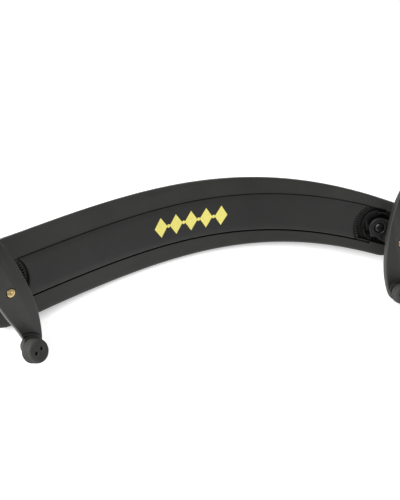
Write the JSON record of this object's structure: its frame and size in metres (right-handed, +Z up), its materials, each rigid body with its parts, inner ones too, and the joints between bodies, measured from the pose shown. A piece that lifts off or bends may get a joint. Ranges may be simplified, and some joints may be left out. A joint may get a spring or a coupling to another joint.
{
  "type": "violin shoulder rest",
  "caption": "Arched, tapered shoulder rest for a violin: foam-backed bar with height-adjustable, swivelling two-footed rubber-tipped forks at its ends.",
  "frame": {"origin": "bottom centre of the bounding box, on the table the rest lies on", "axes": "+X along the bar towards its narrow end, +Z up; -Y is the side the forks and the violin are on"},
  "size_m": [0.2572, 0.094, 0.069],
  "materials": {
    "bar": "satin moulded, fine grain",
    "strip": "satin moulded",
    "foam": "open-cell foam",
    "brass": "turned, bright",
    "steel": "blackened",
    "disc": "satin moulded",
    "arm": "satin moulded",
    "fork": "satin moulded",
    "foot": "matte, ribbed"
  },
  "bodies": {
    "base": {"base_bar": "bar", "centre_strip": "strip", "foam_pad": "foam", "bar_insert_wide": "brass", "bar_insert_narrow": "brass"},
    "clamp_wide": {"clamp_screw_wide": "steel"},
    "swivel_wide": {"swivel_disc_wide": "disc", "arm_wide": "arm", "arm_bush_wide": "brass"},
    "screw_wide": {"height_screw_wide": "brass"},
    "fork_wide": {"fork_wide": "fork", "foot_wide_low": "foot", "foot_wide_high": "foot"},
    "clamp_narrow": {"clamp_screw_narrow": "steel"},
    "swivel_narrow": {"swivel_disc_narrow": "disc", "arm_narrow": "arm", "arm_bush_narrow": "brass"},
    "screw_narrow": {"height_screw_narrow": "brass"},
    "fork_narrow": {"fork_narrow": "fork", "foot_narrow_low": "foot", "foot_narrow_high": "foot"}
  },
  "joints": [
    {"name": "clamp_wide_turn", "type": "hinge", "parent": "base", "child": "clamp_wide", "pos_m": [-0.10853, 0.01264, 0.02233], "axis": [0.2212, -0.7764, 0.5901], "continuous": true},
    {"name": "swivel_wide_turn", "type": "hinge", "parent": "base", "child": "swivel_wide", "pos_m": [-0.10853, 0.01264, 0.02233], "axis": [0.2212, -0.7764, 0.5901], "range_deg": [-10, 10]},
    {"name": "screw_wide_lift", "type": "slide", "parent": "swivel_wide", "child": "screw_wide", "axis": [0.2058, -0.7791, 0.5921], "range_m": [-0.003, 0.005]},
    {"name": "fork_wide_turn", "type": "hinge", "parent": "screw_wide", "child": "fork_wide", "pos_m": [-0.11043, 0.00035, 0.03762], "axis": [0.2058, -0.7791, 0.5921], "range_deg": [-864, 1440]},
    {"name": "clamp_narrow_turn", "type": "hinge", "parent": "base", "child": "clamp_narrow", "pos_m": [0.10969, -0.00204, 0.0223], "axis": [-0.4848, -0.6975, 0.5277], "continuous": true},
    {"name": "swivel_narrow_turn", "type": "hinge", "parent": "base", "child": "swivel_narrow", "pos_m": [0.10969, -0.00204, 0.0223], "axis": [-0.4848, -0.6975, 0.5277], "range_deg": [-10, 10]},
    {"name": "screw_narrow_lift", "type": "slide", "parent": "swivel_narrow", "child": "screw_narrow", "axis": [-0.244, -0.7729, 0.5858], "range_m": [-0.003, 0.005]},
    {"name": "fork_narrow_turn", "type": "hinge", "parent": "screw_narrow", "child": "fork_narrow", "pos_m": [0.111, -0.01932, 0.02959], "axis": [-0.244, -0.7729, 0.5858], "range_deg": [-864, 1440]}
  ],
  "couplings": [
    {"joint": "screw_wide_lift", "follows": "fork_wide_turn", "m_per_rad": 0.00019894},
    {"joint": "screw_narrow_lift", "follows": "fork_narrow_turn", "m_per_rad": 0.00019894}
  ]
}
